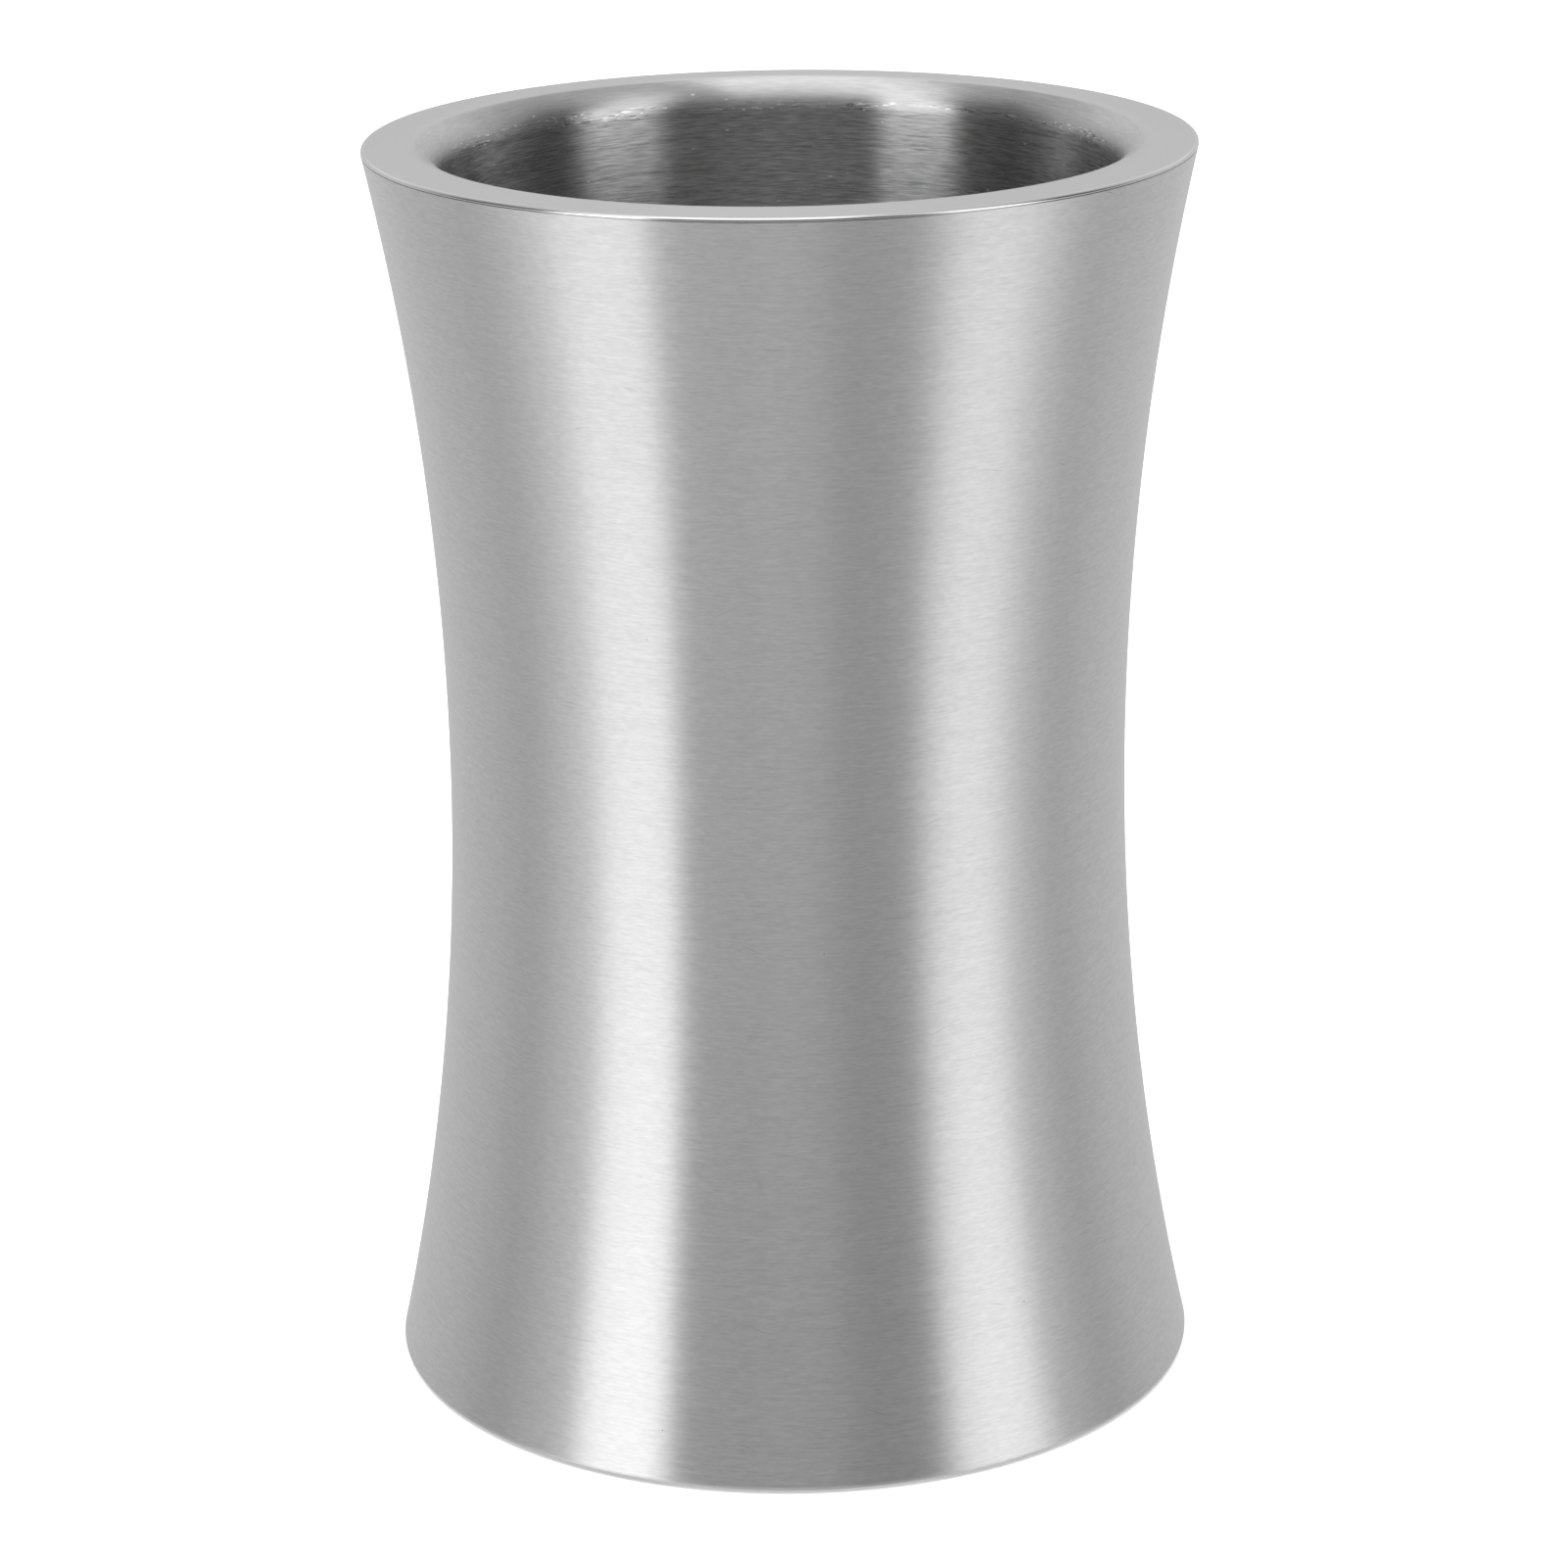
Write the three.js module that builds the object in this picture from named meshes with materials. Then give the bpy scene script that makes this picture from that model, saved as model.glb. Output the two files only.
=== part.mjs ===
// Double-walled bottle cooler in brushed stainless steel.
//
// A waisted outer shell and a drawn liner, straight below and opening gently
// towards the mouth, are welded together round the mouth, and a pressed base plate is welded into the foot of the shell, so that
// the air between the walls is sealed in. A foam disc under the liner stops the
// floor from drumming, a small plug closes the vent hole that let hot air out
// while the last seam was welded, and a soft ring stuck under the base stops the
// cooler from sliding.
//
// Millimetres, +Z up. The origin is the centre of the foot, on the table.
// Every piece is a body of revolution about Z.

import * as THREE from "three";

// ---- driving dimensions -------------------------------------------------

const SEGMENTS = 64; // facets round every large piece
const SHEET = 0.6; // thickness of the stainless sheet

// Outer silhouette: two circular arcs that meet, both upright, at the waist.
const RIM_EDGE_Z = 184.7; // top of the outer edge of the mouth
const FOOT_EDGE_Z = 0.5; // underside of the steel, above the soft foot ring
const RIM_R = 60.0; // outer radius at the mouth
const FOOT_R = 60.5; // outer radius at the foot
const WAIST_R = 50.25; // outer radius at the waist
const WAIST_Z = (RIM_EDGE_Z + FOOT_EDGE_Z) / 2;
const SHELL_STEPS = 7; // facets from the waist to each end

// Mouth: a slightly crowned flange that turns down into the liner.
const CROWN_Z = 185.0; // highest point, where the flange starts to turn down
const MOUTH_BEND = 5.0; // radius of the turned lip, on its polished side
const LIP_R = 53.65; // centre of the lip's bend, where the flange ends
const LINER_R = 46.85; // inside radius of the liner, where it is straight
const FLARE_Z = 60.0; // height above which the liner opens towards the mouth
const FLARE_STEPS = 5;

// Liner floor.
const FLOOR_Z = 9.5; // where a bottle stands
const FLOOR_BEND = 6.0; // inside radius between wall and floor
const FLOOR_RIB_R = 29.0; // stiffening ring pressed into the floor
const FLOOR_RIB_HALF = 2.4;
const FLOOR_RIB_H = 0.7;

// Base plate: a flat land round the edge and a raised panel inside it.
const LAND_IN_R = 53.6; // inner edge of the land
const PANEL_R = 51.4; // outer edge of the raised panel
const PANEL_Z = 2.5; // underside of the raised panel
const BASE_RIB_R = 27.0; // stiffening ring pressed downwards
const BASE_RIB_HALF = 2.2;
const BASE_RIB_H = 0.6;
const VENT_R = 1.75; // vent hole

// Seam welds, ground to a small round corner.
const WELD_CORNER = 0.42;

// Foot ring and the tape that holds it.
const FOOT_RING_IN = 38.6;
const FOOT_RING_OUT = 49.6;
const TAPE = 0.2;

// Foam disc between the base plate and the liner.
const PAD_R = 37.5;
const PAD_HOLE_R = 9.0;

// Vent plug.
const PLUG_STEM_R = 1.6;
const PLUG_HEAD_R = 4.2;
const PLUG_HEAD_H = 1.1;
const PLUG_BARB_R = 2.5;
const PLUG_BARB_H = 1.7;

// ---- helpers ------------------------------------------------------------

const v = (r, z) => new THREE.Vector2(r, z);

// Points on an arc about (cr, cz), from angle a to angle b in degrees.
function arc(cr, cz, radius, a, b, steps) {
  const out = [];
  for (let i = 0; i <= steps; i++) {
    const t = THREE.MathUtils.degToRad(a + ((b - a) * i) / steps);
    out.push(v(cr + radius * Math.cos(t), cz + radius * Math.sin(t)));
  }
  return out;
}

// A body of revolution about Z from a profile of (radius, height) points that
// either starts and ends on the axis or is a closed loop.
function revolve(profile, segments = SEGMENTS) {
  const points = profile.filter(
    (p, i) => i === 0 || p.distanceTo(profile[i - 1]) > 1e-6,
  );
  const onAxis =
    Math.abs(points[0].x) < 1e-9 && Math.abs(points[points.length - 1].x) < 1e-9;
  if (!onAxis && points[0].distanceTo(points[points.length - 1]) > 1e-9)
    points.push(points[0].clone());
  // A profile that runs counter-clockwise in (r, z) turns its faces outwards.
  let area = 0;
  for (let i = 0; i < points.length; i++) {
    const a = points[i],
      b = points[(i + 1) % points.length];
    area += a.x * b.y - b.x * a.y;
  }
  if (area < 0) points.reverse();
  const geometry = new THREE.LatheGeometry(points, segments);
  geometry.rotateX(Math.PI / 2);
  return geometry;
}

const steel = (roughness) =>
  new THREE.MeshStandardMaterial({
    color: 0xb9b9ba,
    roughness,
    metalness: 1.0,
  });

function piece(name, geometry, material) {
  const mesh = new THREE.Mesh(geometry, material);
  mesh.name = name;
  return mesh;
}

// ---- outer silhouette ---------------------------------------------------

// The outer arc above or below the waist, and the same arc one sheet inwards.
function silhouette(endR, endZ) {
  const half = Math.abs(endZ - WAIST_Z);
  const rise = endR - WAIST_R;
  const radius = (half * half + rise * rise) / (2 * rise);
  const centreR = WAIST_R + radius;
  return (z, depth = 0) => {
    const d = z - WAIST_Z;
    return centreR - Math.sqrt((radius + depth) ** 2 - d * d);
  };
}
const upper = silhouette(RIM_R, RIM_EDGE_Z);
const lower = silhouette(FOOT_R, FOOT_EDGE_Z);
const wallR = (z, depth = 0) =>
  z >= WAIST_Z ? upper(z, depth) : lower(z, depth);

const SHELL_TOP = RIM_EDGE_Z - SHEET;
const SHELL_FOOT = FOOT_EDGE_Z + SHEET;

// ---- pieces -------------------------------------------------------------

function outerShell() {
  const heights = [];
  for (let i = 0; i <= 2 * SHELL_STEPS; i++)
    heights.push(SHELL_FOOT + ((SHELL_TOP - SHELL_FOOT) * i) / (2 * SHELL_STEPS));
  const outside = heights.map((z) => v(wallR(z), z));
  const inside = heights.map((z) => v(wallR(z, SHEET), z)).reverse();
  return revolve([...outside, ...inside]);
}

// Inner radius of the shell's two edges, where the flange and the land meet it.
const RIM_JOIN_R = wallR(SHELL_TOP, SHEET);
const FOOT_JOIN_R = wallR(SHELL_FOOT, SHEET);

const LIP_Z = CROWN_Z - MOUTH_BEND;
// The liner's flare is an arc that starts upright and runs into the lip's bend
// with no corner between them.
const FLARE_RISE = LIP_Z - FLARE_Z;
const FLARE_OUT = LIP_R - LINER_R;
const FLARE_R =
  (FLARE_RISE ** 2 + FLARE_OUT ** 2 - MOUTH_BEND ** 2) /
  (2 * (FLARE_OUT - MOUTH_BEND));
const FLARE_TILT = THREE.MathUtils.radToDeg(
  Math.asin(FLARE_RISE / (FLARE_R - MOUTH_BEND)),
);
// The flange falls from the crown to the outer edge at this angle.
const FLANGE_FALL = THREE.MathUtils.radToDeg(
  Math.atan((CROWN_Z - RIM_EDGE_Z) / (RIM_JOIN_R - LIP_R)),
);

function ribbedFloor(z, ribR, half, height, toR, steps = 4) {
  const out = [v(0, z), v(ribR - half, z)];
  for (let i = 1; i < steps; i++) {
    const t = i / steps;
    out.push(
      v(
        ribR - half + 2 * half * t,
        z + (height * (1 - Math.cos(2 * Math.PI * t))) / 2,
      ),
    );
  }
  out.push(v(ribR + half, z), v(toR, z));
  return out;
}

// The liner's wall from the straight part to the flange; depth is 0 on the side
// one sees and SHEET on the hidden one.
const linerWall = (depth) => [
  ...arc(
    LINER_R + FLARE_R,
    FLARE_Z,
    FLARE_R - depth,
    180,
    180 - FLARE_TILT,
    FLARE_STEPS,
  ).slice(0, -1),
  ...arc(
    LIP_R,
    LIP_Z,
    MOUTH_BEND - depth,
    180 - FLARE_TILT,
    90 - FLANGE_FALL,
    5,
  ),
];

function innerLiner() {
  const bendR = LINER_R - FLOOR_BEND;
  const bendZ = FLOOR_Z + FLOOR_BEND;
  const inside = [
    ...ribbedFloor(FLOOR_Z, FLOOR_RIB_R, FLOOR_RIB_HALF, FLOOR_RIB_H, bendR),
    ...arc(bendR, bendZ, FLOOR_BEND, -90, 0, 4),
    ...linerWall(0),
    v(RIM_JOIN_R, RIM_EDGE_Z),
  ];
  const outside = [
    ...ribbedFloor(
      FLOOR_Z - SHEET,
      FLOOR_RIB_R,
      FLOOR_RIB_HALF,
      FLOOR_RIB_H,
      bendR,
    ),
    ...arc(bendR, bendZ, FLOOR_BEND + SHEET, -90, 0, 4),
    ...linerWall(SHEET),
    v(RIM_JOIN_R, RIM_EDGE_Z - SHEET),
  ];
  return revolve([...outside, ...inside.reverse()]);
}

function basePlate() {
  const section = (dz) => {
    const rib = [];
    const steps = 4;
    for (let i = 0; i <= steps; i++) {
      const t = i / steps;
      rib.push(
        v(
          BASE_RIB_R + BASE_RIB_HALF - 2 * BASE_RIB_HALF * t,
          PANEL_Z + dz - (BASE_RIB_H * (1 - Math.cos(2 * Math.PI * t))) / 2,
        ),
      );
    }
    return rib;
  };
  const slope = 0.25; // keeps the sheet's thickness through the sloping step
  const under = [
    v(FOOT_JOIN_R, FOOT_EDGE_Z),
    v(LAND_IN_R, FOOT_EDGE_Z),
    v(LAND_IN_R - 0.7, FOOT_EDGE_Z + 0.35),
    v(PANEL_R + 0.6, PANEL_Z - 0.35),
    v(PANEL_R, PANEL_Z),
    ...section(0),
    v(VENT_R, PANEL_Z),
  ];
  const over = [
    v(FOOT_JOIN_R, FOOT_EDGE_Z + SHEET),
    v(LAND_IN_R + slope, FOOT_EDGE_Z + SHEET),
    v(LAND_IN_R - 0.7 + slope + 0.2, FOOT_EDGE_Z + 0.35 + SHEET - 0.2),
    v(PANEL_R + 0.6 + slope, PANEL_Z - 0.35 + SHEET - 0.1),
    v(PANEL_R, PANEL_Z + SHEET),
    ...section(SHEET),
    v(VENT_R, PANEL_Z + SHEET),
  ];
  return revolve([...under, ...over.reverse()]);
}

// A seam weld fills the corner between a sheet's edge and the shell's end, and
// is ground round on the outside.
function rimWeld() {
  const outer = wallR(SHELL_TOP);
  const c = WELD_CORNER;
  return revolve([
    v(RIM_JOIN_R, SHELL_TOP),
    v(outer, SHELL_TOP),
    ...arc(outer - c, RIM_EDGE_Z - c, c, 0, 90, 4),
    v(RIM_JOIN_R, RIM_EDGE_Z),
  ]);
}

function baseWeld() {
  const outer = wallR(SHELL_FOOT);
  const c = WELD_CORNER;
  return revolve([
    v(FOOT_JOIN_R, SHELL_FOOT),
    v(FOOT_JOIN_R, FOOT_EDGE_Z),
    ...arc(outer - c, FOOT_EDGE_Z + c, c, -90, 0, 4),
    v(outer, SHELL_FOOT),
  ]);
}

function footRing() {
  const top = PANEL_Z - TAPE;
  const c = 0.5;
  return revolve([
    v(FOOT_RING_IN, c),
    v(FOOT_RING_IN + c * 0.3, c * 0.3),
    v(FOOT_RING_IN + c, 0),
    v(FOOT_RING_OUT - c, 0),
    v(FOOT_RING_OUT - c * 0.3, c * 0.3),
    v(FOOT_RING_OUT, c),
    v(FOOT_RING_OUT, top),
    v(FOOT_RING_IN, top),
  ]);
}

function footTape() {
  const inset = 0.4;
  return revolve([
    v(FOOT_RING_IN + inset, PANEL_Z - TAPE),
    v(FOOT_RING_OUT - inset, PANEL_Z - TAPE),
    v(FOOT_RING_OUT - inset, PANEL_Z),
    v(FOOT_RING_IN + inset, PANEL_Z),
  ]);
}

function drumPad() {
  const bottom = PANEL_Z + SHEET;
  const top = FLOOR_Z - SHEET;
  return revolve([
    v(PAD_HOLE_R, bottom),
    v(PAD_R, bottom),
    v(PAD_R, top),
    v(PAD_HOLE_R, top),
  ]);
}

function ventPlug() {
  const under = PANEL_Z;
  const over = PANEL_Z + SHEET;
  return revolve(
    [
      v(0, under - PLUG_HEAD_H),
      v(PLUG_HEAD_R - 0.9, under - PLUG_HEAD_H),
      v(PLUG_HEAD_R - 0.25, under - PLUG_HEAD_H + 0.35),
      v(PLUG_HEAD_R, under - 0.3),
      v(PLUG_HEAD_R, under),
      v(PLUG_STEM_R, under),
      v(PLUG_STEM_R, over),
      v(PLUG_BARB_R, over),
      v(PLUG_BARB_R, over + 0.35),
      v(PLUG_BARB_R * 0.55, over + PLUG_BARB_H),
      v(0, over + PLUG_BARB_H),
    ],
    24,
  );
}

// ---- assembly -----------------------------------------------------------

const walls = new THREE.Group();
walls.add(
  piece("outer_shell", outerShell(), steel(0.32)),
  piece("inner_liner", innerLiner(), steel(0.34)),
  piece("rim_weld", rimWeld(), steel(0.25)),
);

const foot = new THREE.Group();
foot.add(
  piece("base_plate", basePlate(), steel(0.4)),
  piece("base_weld", baseWeld(), steel(0.25)),
  piece(
    "vent_plug",
    ventPlug(),
    new THREE.MeshStandardMaterial({ color: 0xd9d9d6, roughness: 0.55 }),
  ),
  piece(
    "foot_ring",
    footRing(),
    new THREE.MeshStandardMaterial({ color: 0x26272a, roughness: 0.8 }),
  ),
  piece(
    "foot_ring_tape",
    footTape(),
    new THREE.MeshStandardMaterial({ color: 0xe6e4dc, roughness: 0.7 }),
  ),
);

const cooler = new THREE.Group();
cooler.add(
  walls,
  foot,
  piece(
    "drum_pad",
    drumPad(),
    new THREE.MeshStandardMaterial({ color: 0xf1f1ee, roughness: 0.95 }),
  ),
);

export default cooler;
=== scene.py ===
"""Looks of a double-walled bottle cooler in brushed stainless steel.

Every piece is a fine body of revolution built on the same dimensions as its
CAD node, in metres, with +Z up and the origin at the centre of the foot.
"""

import math

import bpy
import numpy as np
from mathutils import Matrix, Vector


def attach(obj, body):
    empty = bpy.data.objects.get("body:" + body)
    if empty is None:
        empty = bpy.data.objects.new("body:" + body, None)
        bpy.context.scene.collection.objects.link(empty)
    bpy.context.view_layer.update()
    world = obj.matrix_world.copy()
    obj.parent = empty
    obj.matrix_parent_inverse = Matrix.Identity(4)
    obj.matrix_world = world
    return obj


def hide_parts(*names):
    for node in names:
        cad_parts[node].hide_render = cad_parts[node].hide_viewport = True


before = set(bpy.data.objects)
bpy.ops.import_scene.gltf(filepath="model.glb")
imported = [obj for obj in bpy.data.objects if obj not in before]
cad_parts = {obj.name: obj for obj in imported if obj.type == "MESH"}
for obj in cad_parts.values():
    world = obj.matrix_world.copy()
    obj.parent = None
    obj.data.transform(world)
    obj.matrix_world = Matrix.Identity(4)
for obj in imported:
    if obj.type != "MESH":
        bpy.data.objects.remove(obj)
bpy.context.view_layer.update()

MM = 0.001

# ---- dimensions, in millimetres, as in the CAD ---------------------------

SHEET = 0.6
RIM_EDGE_Z = 184.7
FOOT_EDGE_Z = 0.5
RIM_R = 60.0
FOOT_R = 60.5
WAIST_R = 50.25
WAIST_Z = (RIM_EDGE_Z + FOOT_EDGE_Z) / 2
CROWN_Z = 185.0
MOUTH_BEND = 5.0
LIP_R = 53.65
LINER_R = 46.85
FLARE_Z = 60.0
FLOOR_Z = 9.5
FLOOR_BEND = 6.0
FLOOR_RIB_R, FLOOR_RIB_HALF, FLOOR_RIB_H = 29.0, 2.4, 0.7
LAND_IN_R = 53.6
PANEL_R = 51.4
PANEL_Z = 2.5
BASE_RIB_R, BASE_RIB_HALF, BASE_RIB_H = 27.0, 2.2, 0.6
VENT_R = 1.75
WELD_CORNER = 0.42
FOOT_RING_IN, FOOT_RING_OUT = 38.6, 49.6
TAPE = 0.2
PAD_R, PAD_HOLE_R = 37.5, 9.0
PLUG_STEM_R, PLUG_HEAD_R, PLUG_HEAD_H = 1.6, 4.2, 1.1
PLUG_BARB_R, PLUG_BARB_H = 2.5, 1.7

SHELL_TOP = RIM_EDGE_Z - SHEET
SHELL_FOOT = FOOT_EDGE_Z + SHEET


def silhouette(end_r, end_z):
    half = abs(end_z - WAIST_Z)
    rise = end_r - WAIST_R
    radius = (half * half + rise * rise) / (2 * rise)
    centre = WAIST_R + radius
    return lambda z, depth=0.0: centre - math.sqrt(
        (radius + depth) ** 2 - (z - WAIST_Z) ** 2
    )


_upper = silhouette(RIM_R, RIM_EDGE_Z)
_lower = silhouette(FOOT_R, FOOT_EDGE_Z)


def wall_r(z, depth=0.0):
    return (_upper if z >= WAIST_Z else _lower)(z, depth)


RIM_JOIN_R = wall_r(SHELL_TOP, SHEET)
FOOT_JOIN_R = wall_r(SHELL_FOOT, SHEET)
LIP_Z = CROWN_Z - MOUTH_BEND
# The liner's flare starts upright and runs into the lip's bend with no corner.
_rise, _out = LIP_Z - FLARE_Z, LIP_R - LINER_R
FLARE_R = (_rise**2 + _out**2 - MOUTH_BEND**2) / (2 * (_out - MOUTH_BEND))
FLARE_TILT = math.degrees(math.asin(_rise / (FLARE_R - MOUTH_BEND)))
FLANGE_FALL = math.degrees(
    math.atan((CROWN_Z - RIM_EDGE_Z) / (RIM_JOIN_R - LIP_R))
)

# ---- meshes ---------------------------------------------------------------


def arc(cr, cz, radius, a, b, steps):
    return [
        (
            cr + radius * math.cos(math.radians(a + (b - a) * i / steps)),
            cz + radius * math.sin(math.radians(a + (b - a) * i / steps)),
        )
        for i in range(steps + 1)
    ]


def line(a, b, steps):
    return [
        (a[0] + (b[0] - a[0]) * i / steps, a[1] + (b[1] - a[1]) * i / steps)
        for i in range(steps + 1)
    ]


def rounded(points, radius, steps=5, closed=True):
    """The same outline with its corners rounded; radius is a number or one number a point."""
    out, n = [], len(points)
    for i, p in enumerate(points):
        r = radius[i] if isinstance(radius, (list, tuple)) else radius
        if r <= 0 or (not closed and i in (0, n - 1)):
            out.append(p)
            continue
        a = Vector(points[i - 1]) - Vector(p)
        b = Vector(points[(i + 1) % n]) - Vector(p)
        la, lb = a.length, b.length
        a.normalize()
        b.normalize()
        angle = a.angle(b)
        if angle > math.radians(178):
            out.append(p)
            continue
        cut = min(r / math.tan(angle / 2), 0.48 * la, 0.48 * lb)
        r = cut * math.tan(angle / 2)
        start, end = Vector(p) + a * cut, Vector(p) + b * cut
        centre = Vector(p) + (a + b).normalized() * (r / math.sin(angle / 2))
        va, vb = start - centre, end - centre
        turn = math.atan2(va.x * vb.y - va.y * vb.x, va.dot(vb))
        for k in range(steps + 1):
            t = turn * k / steps
            c, s = math.cos(t), math.sin(t)
            out.append(
                (
                    centre.x + va.x * c - va.y * s,
                    centre.y + va.x * s + va.y * c,
                )
            )
    return out


def revolve(name, profile, segments=384, sharp=40.0):
    """A body of revolution about Z from an outline of (radius, height) in millimetres."""
    points = [profile[0]]
    for p in profile[1:]:
        if math.dist(p, points[-1]) > 1e-5:
            points.append(p)
    on_axis = points[0][0] < 1e-9 and points[-1][0] < 1e-9
    if not on_axis and math.dist(points[0], points[-1]) < 1e-5:
        points.pop()
    area = sum(
        a[0] * b[1] - b[0] * a[1] for a, b in zip(points, points[1:] + points[:1])
    )
    if area < 0:
        points.reverse()
    verts, rings = [], []
    angles = np.arange(segments) * 2 * math.pi / segments
    cos, sin = np.cos(angles), np.sin(angles)
    for r, z in points:
        if r < 1e-9:
            rings.append([len(verts)])
            verts.append((0.0, 0.0, z * MM))
        else:
            rings.append(list(range(len(verts), len(verts) + segments)))
            verts.extend(
                (r * MM * c, r * MM * s, z * MM) for c, s in zip(cos, sin)
            )
    faces = []
    pairs = list(zip(rings, rings[1:]))
    if not on_axis:
        pairs.append((rings[-1], rings[0]))
    for lo, hi in pairs:
        for i in range(segments):
            j = (i + 1) % segments
            if len(lo) == 1:
                faces.append((lo[0], hi[j], hi[i]))
            elif len(hi) == 1:
                faces.append((lo[i], lo[j], hi[0]))
            else:
                faces.append((lo[i], lo[j], hi[j], hi[i]))
    mesh = bpy.data.meshes.new(name)
    mesh.from_pydata(verts, [], faces)
    mesh.validate()
    mesh.polygons.foreach_set("use_smooth", [True] * len(mesh.polygons))
    mesh.set_sharp_from_angle(angle=math.radians(sharp))
    mesh.update()
    obj = bpy.data.objects.new(name, mesh)
    bpy.context.scene.collection.objects.link(obj)
    return obj


def cosine_rib(centre, half, height, z, steps=12, down=False):
    sign = -1.0 if down else 1.0
    return [
        (
            centre - half + 2 * half * i / steps,
            z + sign * height * (1 - math.cos(2 * math.pi * i / steps)) / 2,
        )
        for i in range(steps + 1)
    ]


def make_outer_shell():
    steps = 96
    heights = [SHELL_FOOT + (SHELL_TOP - SHELL_FOOT) * i / steps for i in range(steps + 1)]
    outside = [(wall_r(z), z) for z in heights]
    inside = [(wall_r(z, SHEET), z) for z in reversed(heights)]
    return revolve("cooler_outer_shell", outside + inside, 512)


def make_inner_liner():
    bend_r, bend_z = LINER_R - FLOOR_BEND, FLOOR_Z + FLOOR_BEND

    def face(depth, fall_end_z):
        # depth 0 is the side one sees, SHEET the hidden one, which is coarser
        z = FLOOR_Z - depth
        bend, flare, lip = (8, 10, 12) if depth else (16, 24, 32)
        pts = [(0.0, z)] + line((4.0, z), (FLOOR_RIB_R - FLOOR_RIB_HALF, z), 6)
        pts += cosine_rib(FLOOR_RIB_R, FLOOR_RIB_HALF, FLOOR_RIB_H, z)
        pts += line((FLOOR_RIB_R + FLOOR_RIB_HALF, z), (bend_r, z), 3)
        pts += arc(bend_r, bend_z, FLOOR_BEND + depth, -90, 0, bend)
        pts += line((LINER_R + depth, bend_z), (LINER_R + depth, FLARE_Z), 8)
        pts += arc(
            LINER_R + FLARE_R, FLARE_Z, FLARE_R - depth, 180, 180 - FLARE_TILT, flare
        )
        pts += arc(
            LIP_R, LIP_Z, MOUTH_BEND - depth, 180 - FLARE_TILT, 90 - FLANGE_FALL, lip
        )
        pts += line(pts[-1], (RIM_JOIN_R, fall_end_z), 8)[1:]
        return pts

    seen = face(0.0, RIM_EDGE_Z)
    hidden = face(SHEET, RIM_EDGE_Z - SHEET)
    return revolve("cooler_inner_liner", hidden + seen[::-1], 512)


def make_rim_weld():
    # The seam's lower edge has a hair-line groove, left by the grinding.
    outer = wall_r(SHELL_TOP)
    c = WELD_CORNER
    return revolve(
        "cooler_rim_weld",
        [
            (RIM_JOIN_R, SHELL_TOP),
            (outer - 0.22, SHELL_TOP),
            (outer - 0.2, SHELL_TOP + 0.1),
            (outer - 0.01, SHELL_TOP + 0.15),
        ]
        + arc(outer - c, RIM_EDGE_Z - c, c, 0, 90, 12)
        + [(RIM_JOIN_R, RIM_EDGE_Z)],
        512,
        60.0,
    )


def make_base_weld():
    outer = wall_r(SHELL_FOOT)
    c = WELD_CORNER
    return revolve(
        "cooler_base_weld",
        [(FOOT_JOIN_R, SHELL_FOOT), (FOOT_JOIN_R, FOOT_EDGE_Z)]
        + arc(outer - c, FOOT_EDGE_Z + c, c, -90, 0, 12)
        + [(outer, SHELL_FOOT)],
        512,
        60.0,
    )


def make_base_plate():
    def face(z_land, z_panel, shift, rib_z):
        step = [
            (FOOT_JOIN_R, z_land),
            (LAND_IN_R + shift, z_land),
            (PANEL_R + shift * 0.5, z_panel),
            (BASE_RIB_R + BASE_RIB_HALF + 0.5, z_panel),
        ]
        pts = rounded(step, [0, 0.7, 0.7, 0], 6, closed=False)
        pts += cosine_rib(
            BASE_RIB_R, BASE_RIB_HALF, BASE_RIB_H, rib_z, down=True
        )[::-1]
        pts += line((BASE_RIB_R - BASE_RIB_HALF, z_panel), (VENT_R, z_panel), 8)
        return pts

    under = face(FOOT_EDGE_Z, PANEL_Z, 0.0, PANEL_Z)
    over = face(FOOT_EDGE_Z + SHEET, PANEL_Z + SHEET, 0.3, PANEL_Z + SHEET)
    return revolve("cooler_base_plate", under + over[::-1], 384)


def make_foot_ring():
    top = PANEL_Z - TAPE
    c = 0.5
    # The face that meets the table has shallow moulded grooves between lands.
    lands = [(FOOT_RING_IN + c, 0.0)]
    grooves = 6
    span = (FOOT_RING_OUT - c) - (FOOT_RING_IN + c)
    pitch = span / grooves
    for i in range(grooves - 1):
        r = FOOT_RING_IN + c + pitch * (i + 1)
        lands += [
            (r - 0.34, 0.0),
            (r - 0.22, 0.16),
            (r + 0.22, 0.16),
            (r + 0.34, 0.0),
        ]
    lands.append((FOOT_RING_OUT - c, 0.0))
    outline = (
        [(FOOT_RING_IN, top), (FOOT_RING_IN, c)]
        + lands
        + [(FOOT_RING_OUT, c), (FOOT_RING_OUT, top)]
    )
    radii = [0.12] + [0.25] + [0.25] + [0.05] * (4 * (grooves - 1)) + [0.25, 0.25, 0.12]
    return revolve("cooler_foot_ring", rounded(outline, radii, 3), 256, 60.0)


def make_foot_tape():
    inset = 0.4
    z0, z1 = PANEL_Z - TAPE, PANEL_Z
    return revolve(
        "cooler_foot_ring_tape",
        rounded(
            [
                (FOOT_RING_IN + inset, z0),
                (FOOT_RING_OUT - inset, z0),
                (FOOT_RING_OUT - inset, z1),
                (FOOT_RING_IN + inset, z1),
            ],
            0.04,
            2,
        ),
        256,
    )


def make_drum_pad():
    z0, z1 = PANEL_Z + SHEET, FLOOR_Z - SHEET
    return revolve(
        "cooler_drum_pad",
        rounded([(PAD_HOLE_R, z0), (PAD_R, z0), (PAD_R, z1), (PAD_HOLE_R, z1)], 0.6, 4),
        192,
    )


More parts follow.
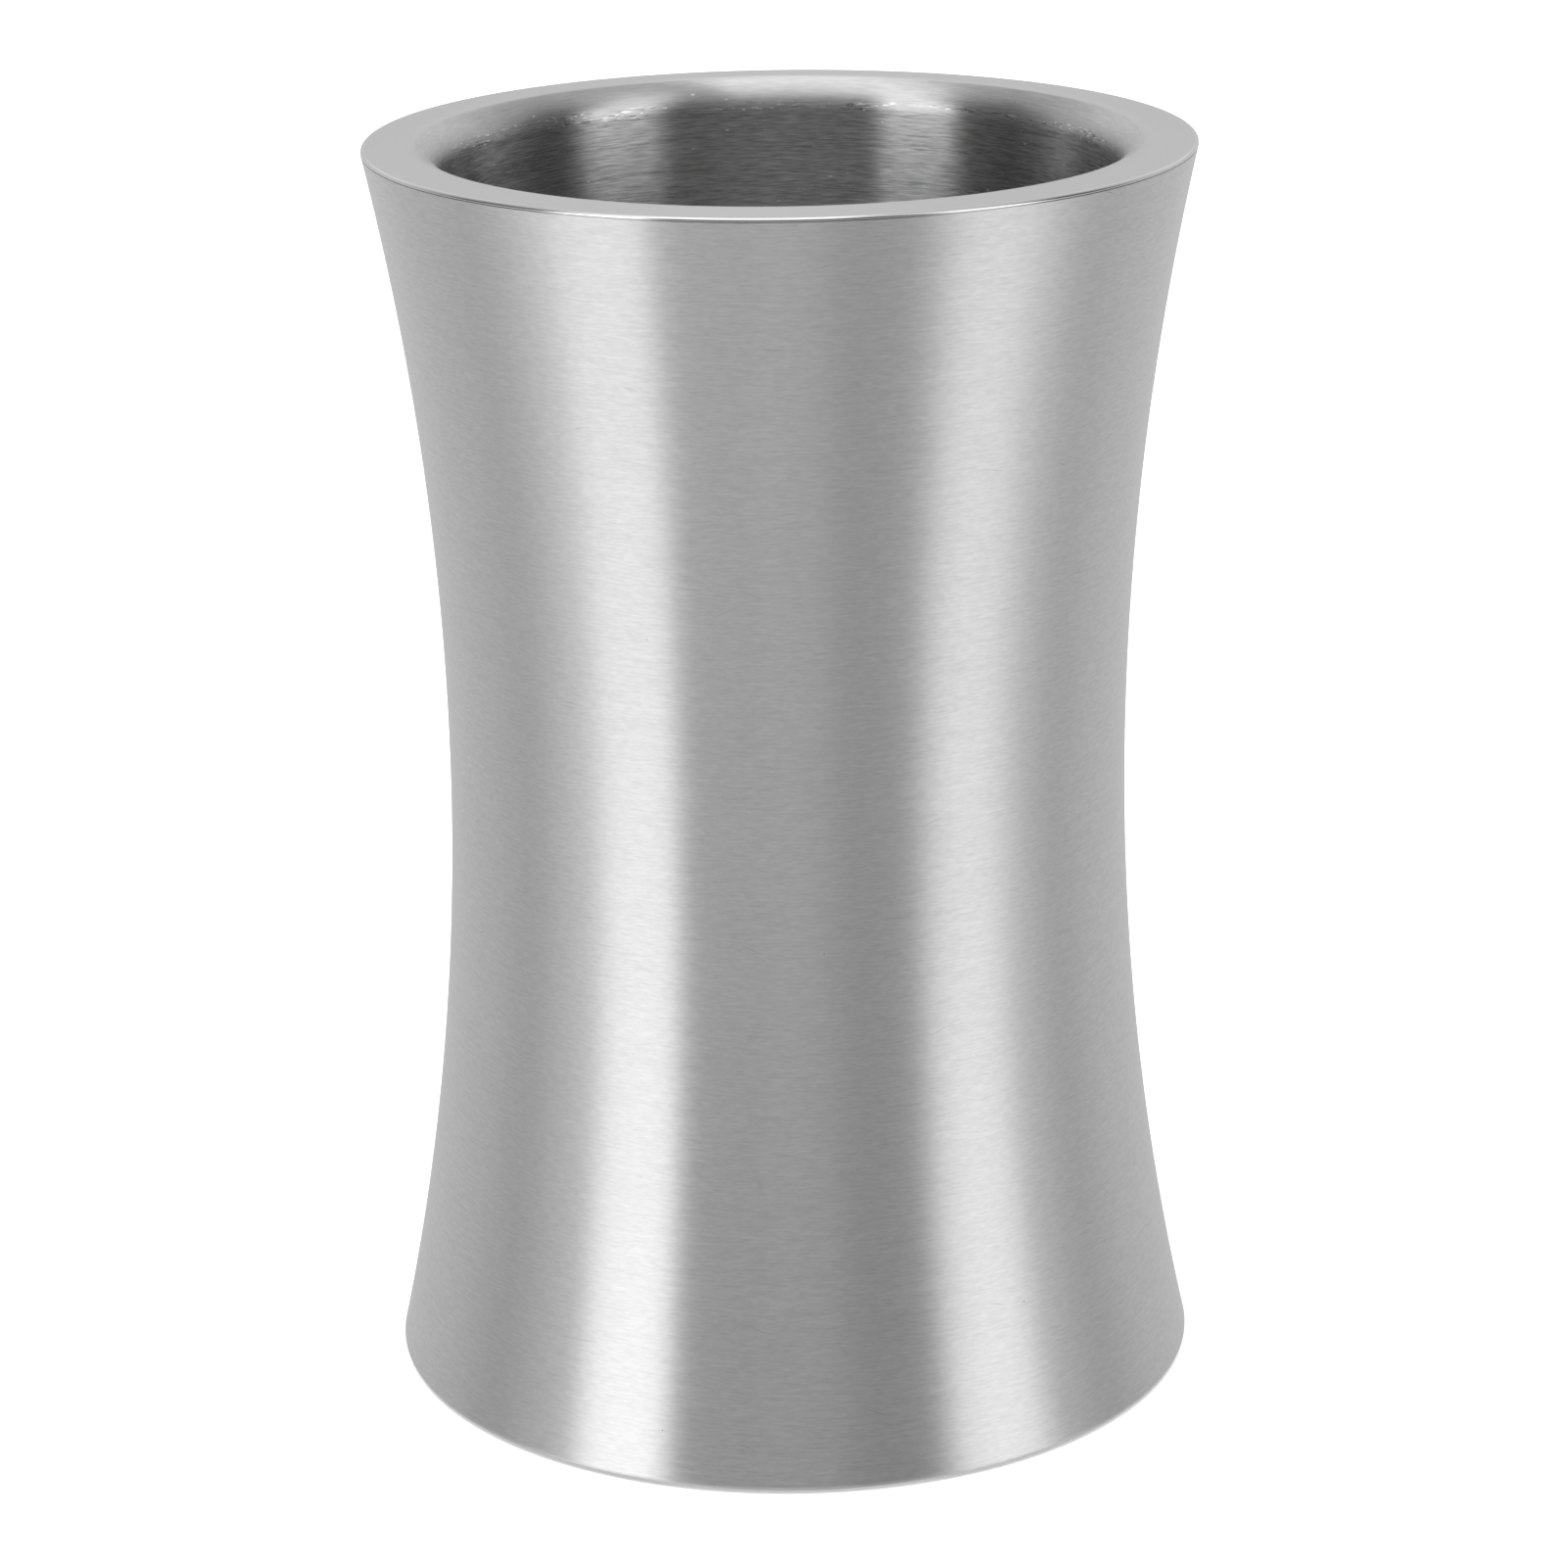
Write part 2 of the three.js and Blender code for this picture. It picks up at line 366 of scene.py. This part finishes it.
def make_vent_plug():
    under, over = PANEL_Z, PANEL_Z + SHEET
    outline = [
        (0.0, under - PLUG_HEAD_H),
        (PLUG_HEAD_R - 0.9, under - PLUG_HEAD_H),
        (PLUG_HEAD_R - 0.25, under - PLUG_HEAD_H + 0.35),
        (PLUG_HEAD_R, under - 0.3),
        (PLUG_HEAD_R, under),
        (PLUG_STEM_R, under),
        (PLUG_STEM_R, over),
        (PLUG_BARB_R, over),
        (PLUG_BARB_R, over + 0.35),
        (PLUG_BARB_R * 0.55, over + PLUG_BARB_H),
        (0.0, over + PLUG_BARB_H),
    ]
    radii = [0, 0.8, 0.5, 0.2, 0.08, 0, 0, 0.1, 0.3, 0.4, 0]
    return revolve(
        "cooler_vent_plug", rounded(outline, radii, 5, closed=False), 96, 50.0
    )


# ---- materials ------------------------------------------------------------


class Nodes:
    """Short hand for building a node tree."""

    def __init__(self, name, tree=None):
        if tree is None:
            self.material = bpy.data.materials.new(name)
            self.material.use_nodes = True
            tree = self.material.node_tree
            tree.nodes.clear()
        self.tree = tree

    def node(self, kind, **settings):
        n = self.tree.nodes.new(kind)
        for key, value in settings.items():
            setattr(n, key, value)
        return n

    def link(self, source, target):
        self.tree.links.new(source, target)

    def put(self, socket, value):
        if isinstance(value, bpy.types.NodeSocket):
            self.link(value, socket)
        else:
            socket.default_value = value

    def math(self, operation, a, b=None, c=None, clamp=False):
        n = self.node("ShaderNodeMath", operation=operation, use_clamp=clamp)
        for socket, value in zip(n.inputs, (a, b, c)):
            if value is not None:
                self.put(socket, value)
        return n.outputs[0]

    def vector(self, x, y, z):
        n = self.node("ShaderNodeCombineXYZ")
        for socket, value in zip(n.inputs, (x, y, z)):
            self.put(socket, value)
        return n.outputs[0]

    def noise(self, vector, scale=1.0, detail=2.0, roughness=0.5, distortion=0.0):
        n = self.node("ShaderNodeTexNoise", noise_dimensions="3D")
        self.put(n.inputs["Vector"], vector)
        n.inputs["Scale"].default_value = scale
        n.inputs["Detail"].default_value = detail
        n.inputs["Roughness"].default_value = roughness
        n.inputs["Distortion"].default_value = distortion
        return n.outputs["Fac"]

    def ramp(self, value, lo, hi, out_lo=0.0, out_hi=1.0, smooth=True):
        n = self.node(
            "ShaderNodeMapRange",
            interpolation_type="SMOOTHSTEP" if smooth else "LINEAR",
        )
        self.put(n.inputs["Value"], value)
        for key, number in (
            ("From Min", lo),
            ("From Max", hi),
            ("To Min", out_lo),
            ("To Max", out_hi),
        ):
            self.put(n.inputs[key], number)
        return n.outputs["Result"]

    def grey(self, value):
        n = self.node("ShaderNodeCombineColor")
        for socket in n.inputs:
            self.put(socket, value)
        return n.outputs[0]

    def bump(self, height, distance, strength=1.0, normal=None):
        n = self.node("ShaderNodeBump")
        n.inputs["Strength"].default_value = strength
        n.inputs["Distance"].default_value = distance
        self.link(height, n.inputs["Height"])
        if normal is not None:
            self.link(normal, n.inputs["Normal"])
        return n.outputs[0]

    def finish(self, shader):
        out = self.node("ShaderNodeOutputMaterial")
        self.link(shader, out.inputs["Surface"])
        return self.material


def polar(t):
    """x, y, z, radius and the unit direction away from the axis, in metres."""
    coords = t.node("ShaderNodeTexCoord").outputs["Object"]
    sep = t.node("ShaderNodeSeparateXYZ")
    t.link(coords, sep.inputs[0])
    x, y, z = sep.outputs
    r = t.math("SQRT", t.math("ADD", t.math("MULTIPLY", x, x), t.math("MULTIPLY", y, y)))
    safe = t.math("MAXIMUM", r, 1e-5)
    return x, y, z, r, t.math("DIVIDE", x, safe), t.math("DIVIDE", y, safe)


def brushed_steel(
    name,
    base=0.60,
    roughness=0.32,
    anisotropic=0.95,
    flat=False,
    line_pitch=0.32,
    line_length=1.5,
    line_bump=0.0008,
    tone=0.07,
    rough_vary=0.014,
    scratches=1.5,
    waviness=1.0,
    seed=0.0,
    tint=(1.0, 1.0, 1.0),
    turning_marks_and_glint=None,
    sparkle=0.0,
    coarse=1.0,
):
    """Stainless steel brushed round the axis: fine lines run round the piece, and
    highlights spread across them. flat is for faces whose lines are circles side
    by side along the radius; otherwise the lines are stacked along the axis."""
    t = Nodes(name)
    x, y, z, r, ux, uy = polar(t)
    # The coordinate across the lines, and a seamless direction round the axis.
    across = r if flat else z
    reach = 0.055

    def lines(pitch_mm, length_mm, detail, offset, rough=0.55, spread=0.2):
        """Brush lines from 0 to 1; a smaller spread gives harder lines."""
        around = reach / (length_mm * MM)
        v = t.vector(
            t.math("MULTIPLY", ux, around),
            t.math("MULTIPLY", uy, around),
            t.math(
                "MULTIPLY_ADD", across, 1.0 / (pitch_mm * MM), offset + seed * 7.31
            ),
        )
        return t.ramp(
            t.noise(v, 1.0, detail, rough), 0.5 - spread, 0.5 + spread, smooth=False
        )

    fine = lines(line_pitch, line_length, 1.0, 0.0)
    medium = lines(line_pitch * 1.5, line_length * 4.0, 1.0, 31.7)
    broad = lines(line_pitch * 13.0, line_length * 14.0, 1.0, 77.1)
    short = lines(line_pitch * 0.8, line_length * 0.7, 0.0, 53.9)

    # Straight stray scratches, a few of them, in coordinates unrolled round the axis.
    angle = t.math("ARCTAN2", y, x)
    around_m = t.math("MULTIPLY", angle, reach)

    def stray(cell_mm, length_mm, width_mm, slope, offset, rare):
        v = t.node("ShaderNodeTexVoronoi", feature="F1", voronoi_dimensions="2D")
        v.inputs["Scale"].default_value = 1000.0 / cell_mm
        v.inputs["Randomness"].default_value = 0.9
        place = t.vector(
            t.math("ADD", around_m, offset + seed * 0.173),
            t.math("ADD", across, offset * 1.7),
            0.0,
        )
        t.link(place, v.inputs["Vector"])
        at = t.node("ShaderNodeSeparateXYZ")
        t.link(place, at.inputs[0])
        centre = t.node("ShaderNodeSeparateXYZ")
        t.link(v.outputs["Position"], centre.inputs[0])
        # Position comes in the units of the coordinates given.
        du = t.math("SUBTRACT", at.outputs[0], centre.outputs[0])
        dv = t.math("SUBTRACT", at.outputs[1], centre.outputs[1])
        pick = t.node("ShaderNodeSeparateColor")
        t.link(v.outputs["Color"], pick.inputs[0])
        lean = t.ramp(pick.outputs[0], 0.0, 1.0, -slope, slope, smooth=False)
        off = t.math("ABSOLUTE", t.math("SUBTRACT", dv, t.math("MULTIPLY", du, lean)))
        half = t.ramp(
            pick.outputs[1], 0.0, 1.0, 0.25 * length_mm, 0.5 * length_mm, smooth=False
        )
        along = t.math("DIVIDE", t.math("ABSOLUTE", du), t.math("MULTIPLY", half, MM))
        taper = t.math("SUBTRACT", 1.0, along, clamp=True)
        width = t.math("MULTIPLY_ADD", taper, width_mm * 0.5 * MM, 0.02 * MM)
        hair = t.math("SUBTRACT", 1.0, t.math("DIVIDE", off, width), clamp=True)
        hair = t.math("MULTIPLY", hair, t.math("POWER", taper, 0.5))
        return t.math("MULTIPLY", hair, t.ramp(pick.outputs[2], rare, rare + 0.03))

    strays = t.math(
        "ADD",
        stray(17.0, 5.0, 0.16, 0.45, 4.0, 0.55),
        t.math(
            "ADD",
            t.math("MULTIPLY", stray(9.0, 5.5, 0.12, 0.10, 19.0, 0.5), 0.5),
            t.math("MULTIPLY", stray(6.0, 3.0, 0.12, 0.06, 41.0, 0.4), 0.4),
        ),
        clamp=True,
    )

    # Tiny dark specks.
    voro = t.node("ShaderNodeTexVoronoi", feature="F1", voronoi_dimensions="3D")
    voro.inputs["Scale"].default_value = 1.0
    t.link(
        t.vector(
            t.math("MULTIPLY", x, 210.0),
            t.math("MULTIPLY", y, 210.0),
            t.math("MULTIPLY_ADD", z, 210.0, seed * 1.9),
        ),
        voro.inputs["Vector"],
    )
    pick = t.node("ShaderNodeSeparateColor")
    t.link(voro.outputs["Color"], pick.inputs[0])
    speck = t.math(
        "MULTIPLY",
        t.ramp(voro.outputs["Distance"], 0.028, 0.014),
        t.ramp(pick.outputs[0], 0.94, 0.95),
    )

    shade = t.math(
        "ADD",
        t.math("MULTIPLY", t.math("SUBTRACT", fine, 0.5), tone * 1.5),
        t.math(
            "ADD",
            t.math("MULTIPLY", t.math("SUBTRACT", medium, 0.5), tone * 1.1 * coarse),
            t.math("MULTIPLY", t.math("SUBTRACT", broad, 0.5), tone * 0.35 * coarse),
        ),
    )
    calm = None
    if turning_marks_and_glint:
        # The lip above the marks is smoother than the wall below them.
        calm = t.ramp(z, (turning_marks_and_glint[0] - 0.5) * MM, (turning_marks_and_glint[1] + 0.8) * MM, 1.0, 0.3)
        shade = t.math("MULTIPLY", shade, calm)
    value = t.math("MULTIPLY", t.math("ADD", shade, 1.0), base)
    if turning_marks_and_glint:
        # Coarse dashes where the lip's turned finish meets the brushed wall: the dark dashes are the real turning
        # marks, and the bright dashes are a painted glint along them.
        lo_z, hi_z = turning_marks_and_glint
        zone = t.math(
            "MULTIPLY",
            t.ramp(z, (lo_z - 0.25) * MM, (lo_z + 0.25) * MM),
            t.ramp(z, (hi_z + 0.2) * MM, (hi_z - 0.2) * MM),
        )
        zone = t.math("MULTIPLY", zone, lines(1.2, 14.0, 1.0, 211.0, spread=0.07))
        # The bright dashes are painted glint, not a colour of the steel.
        glint_dashes = lines(0.28, 1.7, 1.0, 131.0)
        glint_dashes = t.math("MULTIPLY", t.ramp(glint_dashes, 0.74, 0.9), zone)
        dark = t.math("MULTIPLY", t.ramp(lines(0.28, 1.9, 1.0, 157.0), 0.74, 0.9), zone)
        value = t.math(
            "MULTIPLY",
            value,
            t.math("ADD", 1.0, t.math("SUBTRACT", t.math("MULTIPLY", glint_dashes, 0.9), t.math("MULTIPLY", dark, 0.5))),
        )
    if sparkle:
        # Painted glints: bright flecks, a fraction of a millimetre across.
        fleck = t.node("ShaderNodeTexVoronoi", feature="F1", voronoi_dimensions="3D")
        fleck.inputs["Scale"].default_value = 1.0
        t.link(
            t.vector(
                t.math("MULTIPLY", x, 380.0),
                t.math("MULTIPLY", y, 380.0),
                t.math("MULTIPLY_ADD", z, 900.0, 17.0),
            ),
            fleck.inputs["Vector"],
        )
        chance = t.node("ShaderNodeSeparateColor")
        t.link(fleck.outputs["Color"], chance.inputs[0])
        dot = t.math(
            "MULTIPLY",
            t.ramp(fleck.outputs["Distance"], 0.17, 0.07),
            t.ramp(chance.outputs[0], 0.9, 0.92),
        )
        value = t.math(
            "MINIMUM", t.math("MULTIPLY", value, t.math("MULTIPLY_ADD", dot, sparkle, 1.0)), 1.0
        )
    value = t.math(
        "MULTIPLY",
        value,
        t.math(
            "SUBTRACT",
            1.0,
            t.math(
                "ADD",
                t.math("MULTIPLY", strays, 0.22 * scratches),
                t.math("MULTIPLY", speck, 0.55 * scratches),
            ),
        ),
    )
    colour = t.node("ShaderNodeCombineColor")
    for socket, share in zip(colour.inputs, tint):
        t.link(t.math("MULTIPLY", value, share), socket)

    rough = t.math(
        "ADD",
        roughness,
        t.math(
            "ADD",
            t.math("MULTIPLY", t.math("SUBTRACT", medium, 0.5), rough_vary * 2),
            t.math("MULTIPLY", t.math("SUBTRACT", broad, 0.5), rough_vary * 1.2),
        ),
        clamp=True,
    )

    # Heights: brush lines, strays cut below them, and the slow waves of drawn sheet.
    height = t.math(
        "ADD",
        t.math("MULTIPLY", fine, 0.6),
        t.math("ADD", t.math("MULTIPLY", medium, 0.8), t.math("MULTIPLY", short, 0.4)),
    )
    height = t.math("SUBTRACT", height, t.math("MULTIPLY", strays, 0.5 * scratches))
    if calm:
        height = t.math("MULTIPLY", height, calm)
    waves = t.noise(
        t.vector(
            t.math("MULTIPLY", ux, 3.2),
            t.math("MULTIPLY", uy, 3.2),
            t.math("MULTIPLY_ADD", across, 26.0, seed + 3.0),
        ),
        1.0,
        1.0,
    )
    normal = t.bump(waves, 0.03 * MM * waviness)
    normal = t.bump(height, line_bump * MM, normal=normal)

    tangent = t.node("ShaderNodeTangent", direction_type="RADIAL", axis="Z")
    bsdf = t.node("ShaderNodeBsdfPrincipled")
    bsdf.inputs["Metallic"].default_value = 1.0
    bsdf.inputs["Anisotropic"].default_value = anisotropic
    bsdf.inputs["Anisotropic Rotation"].default_value = 0.25
    t.link(colour.outputs[0], bsdf.inputs["Base Color"])
    t.link(rough, bsdf.inputs["Roughness"])
    t.link(normal, bsdf.inputs["Normal"])
    t.link(tangent.outputs[0], bsdf.inputs["Tangent"])
    return t.finish(bsdf.outputs[0])


def soft_material(name, colour, roughness, grain_mm, grain_bump, mottle, sheen=0.0):
    """Silicone, foam or tape: a moulded or cellular grain with a little mottling."""
    t = Nodes(name)
    coords = t.node("ShaderNodeTexCoord").outputs["Object"]
    grain = t.noise(coords, 1000.0 / grain_mm, 3.0, 0.6)
    cloud = t.noise(coords, 60.0, 3.0, 0.55)
    cells = t.node("ShaderNodeTexVoronoi", feature="SMOOTH_F1")
    cells.inputs["Scale"].default_value = 700.0 / grain_mm
    t.link(coords, cells.inputs["Vector"])
    value = t.math(
        "ADD",
        1.0,
        t.math(
            "ADD",
            t.math("MULTIPLY", t.math("SUBTRACT", cloud, 0.5), mottle * 2),
            t.math("MULTIPLY", t.math("SUBTRACT", grain, 0.5), mottle),
        ),
    )
    out = t.node("ShaderNodeCombineColor")
    for socket, share in zip(out.inputs, colour):
        t.link(t.math("MULTIPLY", value, share), socket)
    height = t.math("ADD", grain, t.math("MULTIPLY", cells.outputs["Distance"], 0.7))
    bsdf = t.node("ShaderNodeBsdfPrincipled")
    t.link(out.outputs[0], bsdf.inputs["Base Color"])
    t.link(
        t.math(
            "ADD", roughness, t.math("MULTIPLY", t.math("SUBTRACT", cloud, 0.5), 0.15)
        ),
        bsdf.inputs["Roughness"],
    )
    t.link(t.bump(height, grain_bump * MM), bsdf.inputs["Normal"])
    if sheen:
        bsdf.inputs["Sheen Weight"].default_value = sheen
    return t.finish(bsdf.outputs[0])


SHELL_STEEL = brushed_steel("shell_brushed_steel", seed=1.0)
# The liner's base colour, 0.55 against the shell's 0.60, is set lower as painted shade that darkens the inside of
# the bore.
LINER_STEEL = brushed_steel(
    "liner_brushed_steel",
    base=0.55,
    roughness=0.287,
    anisotropic=1.0,
    line_pitch=0.2,
    line_length=3.4,
    line_bump=0.003,
    tone=0.34,
    rough_vary=0.02,
    scratches=1.4,
    seed=2.0,
    turning_marks_and_glint=(180.2, 181.9),
    sparkle=0.9,
    coarse=0.45,
)
FLANGE_STEEL = brushed_steel(
    "flange_satin_steel",
    base=0.59,
    roughness=0.32,
    anisotropic=0.4,
    flat=True,
    line_pitch=0.2,
    line_length=1.6,
    line_bump=0.0003,
    tone=0.012,
    scratches=0.5,
    seed=3.0,
)
WELD_STEEL = brushed_steel(
    "seam_polished_steel",
    base=0.68,
    roughness=0.13,
    anisotropic=0.3,
    line_pitch=0.12,
    line_length=5.0,
    line_bump=0.001,
    tone=0.04,
    scratches=0.4,
    waviness=0.4,
    seed=4.0,
)
# The foot's seam is brushed over with the wall.
FOOT_SEAM_STEEL = brushed_steel("foot_seam_steel", base=0.62, seed=6.0)
BASE_STEEL = brushed_steel(
    "base_turned_steel",
    base=0.5,
    roughness=0.36,
    anisotropic=0.8,
    flat=True,
    line_pitch=0.3,
    line_length=6.0,
    line_bump=0.006,
    tone=0.1,
    scratches=1.2,
    seed=5.0,
)
FOOT_SILICONE = soft_material(
    "foot_black_silicone", (0.028, 0.028, 0.03), 0.62, 0.35, 0.012, 0.1
)
PLUG_SILICONE = soft_material(
    "plug_grey_silicone", (0.62, 0.62, 0.6), 0.45, 0.5, 0.008, 0.03
)
TAPE_FILM = soft_material("tape_film", (0.74, 0.72, 0.66), 0.5, 0.8, 0.006, 0.05)
PAD_FOAM = soft_material("pad_foam", (0.8, 0.8, 0.78), 0.9, 0.7, 0.08, 0.08, sheen=0.2)


# ---- the object -----------------------------------------------------------


def place(obj, material, slot, *nodes):
    obj.data.materials.append(material)
    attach(obj, "root")
    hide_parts(*nodes)
    return obj


shell = place(make_outer_shell(), SHELL_STEEL, "shell_steel", "outer_shell")
liner = place(make_inner_liner(), LINER_STEEL, "liner_steel", "inner_liner")
place(make_rim_weld(), WELD_STEEL, "weld_steel", "rim_weld")
place(make_base_plate(), BASE_STEEL, "base_steel", "base_plate")
place(make_base_weld(), FOOT_SEAM_STEEL, "weld_steel", "base_weld")
place(make_vent_plug(), PLUG_SILICONE, "plug_silicone", "vent_plug")
place(make_foot_ring(), FOOT_SILICONE, "foot_silicone", "foot_ring")
place(make_foot_tape(), TAPE_FILM, "tape", "foot_ring_tape")
place(make_drum_pad(), PAD_FOAM, "foam", "drum_pad")

# The liner's flange and floor are turned flat, so their lines are circles.
liner.data.materials.append(FLANGE_STEEL)
liner.data.materials.append(BASE_STEEL)
for face in liner.data.polygons:
    c = face.center
    radius = math.hypot(c.x, c.y) / MM
    if c.z / MM > LIP_Z + MOUTH_BEND * 0.9 and radius > LIP_R - MOUTH_BEND * 0.3:
        face.material_index = 1
    elif c.z / MM < FLOOR_Z + FLOOR_BEND * 0.3:
        face.material_index = 2

# ---- floor and light ------------------------------------------------------

bpy.ops.mesh.primitive_plane_add(size=8.0, location=(0, 1.0, 0))
floor = bpy.context.object
floor.name = "studio_floor"
t = Nodes("floor_paper")
coords = t.node("ShaderNodeTexCoord").outputs["Object"]
paper = t.noise(coords, 900.0, 3.0)
bsdf = t.node("ShaderNodeBsdfPrincipled")
t.link(t.grey(t.ramp(paper, 0.3, 0.7, 0.83, 0.86)), bsdf.inputs["Base Color"])
bsdf.inputs["Roughness"].default_value = 0.9
bsdf.inputs["Specular IOR Level"].default_value = 0.1
# A light table glows a little, which lifts the shadow under the foot's edge.
bsdf.inputs["Emission Color"].default_value = (1.0, 1.0, 1.0, 1.0)
bsdf.inputs["Emission Strength"].default_value = 0.3
t.link(t.bump(paper, 0.00002), bsdf.inputs["Normal"])
floor.data.materials.append(t.finish(bsdf.outputs[0]))
# The pale floor is not mirrored in the steel, as on a light table whose far side
# is what the walls reflect.
floor.visible_glossy = False

world = bpy.data.worlds.new("studio")
bpy.context.scene.world = world
world.use_nodes = True
world.node_tree.nodes.clear()
w = Nodes("studio", world.node_tree)
direction = w.node("ShaderNodeTexCoord").outputs["Generated"]
sep = w.node("ShaderNodeSeparateXYZ")
w.link(direction, sep.inputs[0])
dx, dy, dz = sep.outputs
# Degrees round the object: 0 in front, towards -Y, and 90 towards +X.
azimuth = w.math(
    "MULTIPLY", w.math("ARCTAN2", dx, w.math("MULTIPLY", dy, -1.0)), 180 / math.pi
)
elevation = w.math("MULTIPLY", w.math("ARCSINE", dz), 180 / math.pi)


def window(value, lo, hi, soft_lo, soft_hi):
    rise = w.ramp(value, lo - soft_lo, lo + soft_lo)
    fall = w.ramp(value, hi - soft_hi, hi + soft_hi, 1.0, 0.0)
    return w.math("MULTIPLY", rise, fall)


def add(a, b):
    return w.math("ADD", a, b)


def times(a, b):
    return w.math("MULTIPLY", a, b)


def lobe(lo, hi, soft_lo, soft_hi, strength):
    """One tall panel, between two azimuths with soft edges, in degrees."""
    return times(window(azimuth, lo, hi, soft_lo, soft_hi), strength)


def total(base, *parts):
    for part in parts:
        base = add(base, part)
    return base


away = w.math("ABSOLUTE", azimuth)
# What the walls see below the horizon: the pale table, brighter under the panels.
below = total(
    0.62,
    times(lobe(-81.0, -38.0, 18.0, 4.0, 0.65), w.ramp(elevation, -46.0, -24.0, 0.86, 1.0)),
    times(lobe(-92.0, -68.0, 9.0, 9.0, 0.16), w.ramp(elevation, -44.0, -30.0, 1.0, 0.0)),
    lobe(52.5, 90.0, 9.0, 13.0, 0.51),
    lobe(-28.0, 14.0, 8.0, 8.0, 0.05),
    lobe(-9.0, 3.0, 5.0, 5.0, 0.03),
    lobe(16.0, 44.0, 6.0, 6.0, -0.09),
    lobe(-120.0, -80.0, 10.0, 8.0, 0.06),
    lobe(90.0, 125.0, 8.0, 10.0, 0.05),
    times(w.ramp(away, 105.0, 140.0), 0.10),
)
# Above it: two tall soft boxes in a dark studio, and a pale wall behind the object.
left_fade = times(
    w.ramp(elevation, 8.0, 26.0, 1.0, 0.5),
    times(w.ramp(elevation, 24.0, 52.0, 1.0, 0.55), w.ramp(elevation, 58.0, 74.0, 1.0, 0.0)),
)
right_fade = times(
    w.ramp(elevation, 6.0, 22.0, 1.0, 0.48),
    times(w.ramp(elevation, 24.0, 50.0, 1.0, 0.8), w.ramp(elevation, 52.0, 64.0, 1.0, 0.0)),
)
above = total(
    0.13,
    times(lobe(-64.0, -36.8, 5.0, 4.0, 2.75), left_fade),
    times(lobe(44.0, 74.0, 6.0, 7.0, 2.4), right_fade),
    times(w.math("MAXIMUM", w.ramp(away, 92.0, 125.0), w.ramp(elevation, 31.0, 54.0)), 0.5),
    times(times(w.ramp(away, 120.0, 150.0), window(elevation, 13.0, 32.0, 5.0, 8.0)), 0.2),
)
# A soft box overhead, from behind the object to over the camera, and a reflector
# that carries it down to the left soft box.
rise_z = w.math("MAXIMUM", dz, 0.02)
across_x = w.math("DIVIDE", dx, rise_z)
along_y = w.math("DIVIDE", dy, rise_z)
overhead = times(
    times(
        times(
            w.ramp(add(across_x, times(along_y, 0.11)), 0.26, 0.14),
            w.ramp(add(across_x, times(along_y, -0.19)), -0.41, -0.25),
        ),
        window(along_y, -0.85, 1.15, 0.45, 0.25),
    ),
    w.ramp(along_y, -0.2, 0.8, 0.8, 1.25),
)
slant = add(along_y, times(across_x, -1.1))
reflector = times(
    times(window(across_x, -0.85, -0.12, 0.15, 0.08), w.ramp(slant, 0.98, 0.64)),
    times(w.ramp(along_y, -0.9, -0.2), 0.66),
)
above = add(above, times(w.math("MAXIMUM", overhead, reflector), w.ramp(dz, 0.05, 0.2)))
horizon = w.ramp(elevation, -8.0, 8.0)
light = add(times(below, w.math("SUBTRACT", 1.0, horizon)), times(above, horizon))
back = w.node("ShaderNodeBackground")
back.inputs["Color"].default_value = (1.0, 1.0, 1.0, 1.0)
w.link(light, back.inputs["Strength"])
plain = w.node("ShaderNodeBackground")
plain.inputs["Color"].default_value = (1.0, 1.0, 1.0, 1.0)
plain.inputs["Strength"].default_value = 1.0
path = w.node("ShaderNodeLightPath")
mix = w.node("ShaderNodeMixShader")
w.link(path.outputs["Is Camera Ray"], mix.inputs[0])
w.link(back.outputs[0], mix.inputs[1])
w.link(plain.outputs[0], mix.inputs[2])
out = w.node("ShaderNodeOutputWorld")
w.link(mix.outputs[0], out.inputs["Surface"])

# A soft light from above for the floor.
sun = bpy.data.lights.new("floor_sun", "SUN")
sun.energy = 2.6
sun.angle = math.radians(70)
sun_obj = bpy.data.objects.new("floor_sun", sun)
sun_obj.visible_glossy = False
bpy.context.scene.collection.objects.link(sun_obj)

# ---- camera ---------------------------------------------------------------

FOCAL_PX, FRAME_PX, SENSOR = 4749.0, 1601.0, 36.0
camera = bpy.data.cameras.new("camera")
camera.sensor_width = SENSOR
camera.lens = FOCAL_PX / FRAME_PX * SENSOR
camera.dof.use_dof = False
camera.clip_start, camera.clip_end = 0.01, 50.0
cam = bpy.data.objects.new("camera", camera)
bpy.context.scene.collection.objects.link(cam)
pitch, yaw, roll = (math.radians(a) for a in (18.02, -0.05, -0.77))
forward = Vector(
    (
        math.sin(yaw) * math.cos(pitch),
        math.cos(yaw) * math.cos(pitch),
        -math.sin(pitch),
    )
)
right = Vector((math.cos(yaw), -math.sin(yaw), 0.0))
up = right.cross(forward)
r2 = right * math.cos(roll) + up * math.sin(roll)
u2 = right * -math.sin(roll) + up * math.cos(roll)
m = Matrix((r2, u2, -forward)).transposed().to_4x4()
m.translation = Vector((0.0, -0.662, 0.3027))
cam.matrix_world = m
bpy.context.scene.camera = cam

scene = bpy.context.scene
scene.view_settings.view_transform = "Standard"
scene.view_settings.look = "None"
scene.view_settings.exposure = 0.0
scene.view_settings.gamma = 1.0
